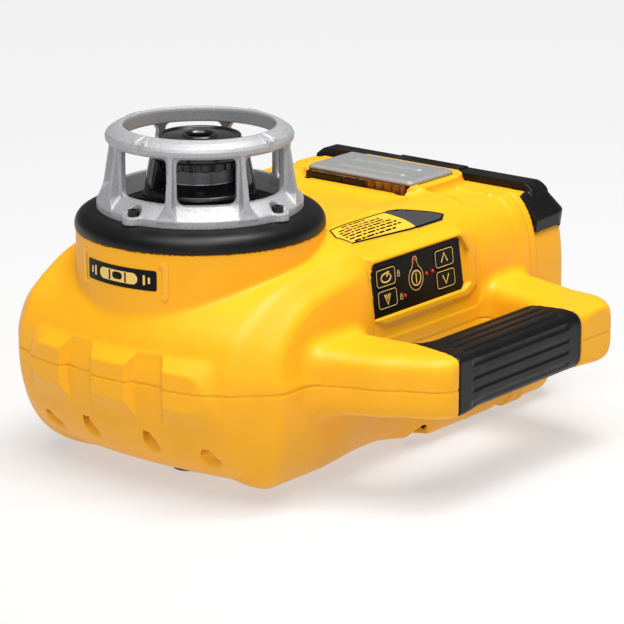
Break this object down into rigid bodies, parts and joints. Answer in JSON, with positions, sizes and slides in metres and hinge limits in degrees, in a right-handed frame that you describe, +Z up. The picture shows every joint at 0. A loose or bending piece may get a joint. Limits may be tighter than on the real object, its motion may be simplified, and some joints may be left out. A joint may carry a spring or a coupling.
{
  "type": "rotating laser level",
  "caption": "Self-levelling rotating laser in a yellow two-shell housing, with a guarded spinning head, side handle, keypad and slide-out battery end.",
  "frame": {"origin": "centre of the base of the whole object's box, on the plane of the rubber feet", "axes": "+X from the head end to the battery end, the handle and keypad on the -Y side, +Z up along the head's axis"},
  "size_m": [0.323, 0.2624, 0.197],
  "materials": {
    "yellow_plastic": "moulded, fine texture",
    "black_rubber": "matt overmould",
    "grip_rubber": "ribbed, soft",
    "cast_aluminium": "cast, grained",
    "plate_metal": "satin anodised",
    "machined_aluminium": "machined",
    "steel": "ground",
    "black_screws": "black oxide",
    "black_plastic": "moulded",
    "rotor_black": "black anodised",
    "keypad_film": "membrane film",
    "label_film": "printed film",
    "badge_plastic": "moulded",
    "amber_window": "translucent, ribbed",
    "smoked_window": "smoked",
    "clear_glass": "coated optics",
    "circuit_board": "solder mask",
    "red_light": "lens",
    "brass": "machined",
    "belt_rubber": "toothed belt",
    "battery_grey": "moulded"
  },
  "bodies": {
    "housing": {"upper_housing": "yellow_plastic", "lower_housing": "yellow_plastic", "housing_gasket": "black_rubber", "housing_screws": "black_screws", "rubber_feet": "black_rubber", "tripod_bushing": "machined_aluminium", "handle_grip": "grip_rubber", "turret_bumper": "black_rubber", "guard_cage": "cast_aluminium", "cage_screws": "black_screws", "dust_dish": "black_plastic", "front_badge": "badge_plastic", "info_label": "label_film", "guard_plate": "plate_metal", "sensor_window": "amber_window", "sensor_board": "circuit_board", "keypad_panel": "keypad_film", "keypad_board": "circuit_board", "status_lights": "red_light", "gimbal_frame": "machined_aluminium", "frame_screws": "steel", "ring_pins": "steel", "level_motor_x": "steel", "level_motor_y": "steel", "main_board": "circuit_board", "battery_contacts": "brass"},
    "roll_ring": {"gimbal_ring": "machined_aluminium", "carrier_pins": "steel"},
    "laser_engine": {"laser_carrier": "machined_aluminium", "spindle_bearings": "steel", "laser_module": "brass", "collimator_lens": "clear_glass", "tilt_vials": "clear_glass", "drive_motor": "steel", "drive_belt": "belt_rubber"},
    "rotor": {"spindle": "machined_aluminium", "rotor_pulley": "machined_aluminium", "rotor_body": "rotor_black", "rotor_window": "smoked_window", "pentaprism": "clear_glass", "zenith_lens": "clear_glass"},
    "small_pulley": {"motor_pulley": "machined_aluminium"},
    "screw_x": {"lead_screw_x": "steel"},
    "screw_y": {"lead_screw_y": "steel"},
    "nut_x": {"lead_nut_x": "brass"},
    "nut_y": {"lead_nut_y": "brass"},
    "rotation_key": {"key_rotation": "keypad_film"},
    "scan_key": {"key_scan": "keypad_film"},
    "power_key": {"key_power": "keypad_film"},
    "up_key": {"key_up": "keypad_film"},
    "down_key": {"key_down": "keypad_film"},
    "battery_module": {"battery_cover": "yellow_plastic", "cover_bumper": "black_rubber", "battery_pack": "battery_grey"},
    "latch": {"battery_latch": "black_plastic"}
  },
  "joints": [
    {"name": "levelling_roll", "type": "hinge", "parent": "housing", "child": "roll_ring", "pos_m": [-0.0765, 0.03425, 0.126], "axis": [1, 0, 0], "range_deg": [-5, 5]},
    {"name": "levelling_pitch", "type": "hinge", "parent": "roll_ring", "child": "laser_engine", "pos_m": [-0.0765, 0.03425, 0.126], "axis": [0, 1, 0], "range_deg": [-5, 5]},
    {"name": "rotor_spin", "type": "hinge", "parent": "laser_engine", "child": "rotor", "pos_m": [-0.0765, 0.03425, 0.15], "axis": [0, 0, 1], "continuous": true},
    {"name": "motor_spin", "type": "hinge", "parent": "laser_engine", "child": "small_pulley", "pos_m": [-0.0485, 0.03425, 0.103], "axis": [0, 0, 1], "continuous": true},
    {"name": "lead_nut_x_lift", "type": "slide", "parent": "housing", "child": "nut_x", "axis": [0, 0, 1], "range_m": [-0.0035, 0.0035]},
    {"name": "lead_nut_y_lift", "type": "slide", "parent": "housing", "child": "nut_y", "axis": [0, 0, 1], "range_m": [-0.0045, 0.0045]},
    {"name": "lead_screw_x_turn", "type": "hinge", "parent": "housing", "child": "screw_x", "pos_m": [-0.1145, 0.03425, 0.09], "axis": [0, 0, 1], "range_deg": [-152, 152]},
    {"name": "lead_screw_y_turn", "type": "hinge", "parent": "housing", "child": "screw_y", "pos_m": [-0.0765, 0.08225, 0.09], "axis": [0, 0, 1], "range_deg": [-192, 192]},
    {"name": "rotation_key_press", "type": "slide", "parent": "housing", "child": "rotation_key", "axis": [0, 0.9925, -0.1219], "range_m": [0, 0.0006], "stiffness_N_per_m": 900},
    {"name": "scan_key_press", "type": "slide", "parent": "housing", "child": "scan_key", "axis": [0, 0.9925, -0.1219], "range_m": [0, 0.0006], "stiffness_N_per_m": 900},
    {"name": "power_key_press", "type": "slide", "parent": "housing", "child": "power_key", "axis": [0, 0.9925, -0.1219], "range_m": [0, 0.0006], "stiffness_N_per_m": 900},
    {"name": "up_key_press", "type": "slide", "parent": "housing", "child": "up_key", "axis": [0, 0.9925, -0.1219], "range_m": [0, 0.0006], "stiffness_N_per_m": 900},
    {"name": "down_key_press", "type": "slide", "parent": "housing", "child": "down_key", "axis": [0, 0.9925, -0.1219], "range_m": [0, 0.0006], "stiffness_N_per_m": 900},
    {"name": "battery_slide", "type": "slide", "parent": "housing", "child": "battery_module", "axis": [1, 0, 0], "range_m": [0, 0.115]},
    {"name": "latch_slide", "type": "slide", "parent": "battery_module", "child": "latch", "axis": [1, 0, 0], "range_m": [0, 0.003], "stiffness_N_per_m": 600}
  ],
  "couplings": [
    {"joint": "motor_spin", "follows": "rotor_spin", "ratio": 2.3333},
    {"joint": "lead_nut_x_lift", "follows": "levelling_pitch", "m_per_rad": 0.038},
    {"joint": "lead_nut_y_lift", "follows": "levelling_roll", "m_per_rad": 0.048},
    {"joint": "lead_screw_x_turn", "follows": "levelling_pitch", "ratio": 29.845},
    {"joint": "lead_screw_y_turn", "follows": "levelling_roll", "ratio": 37.699}
  ]
}
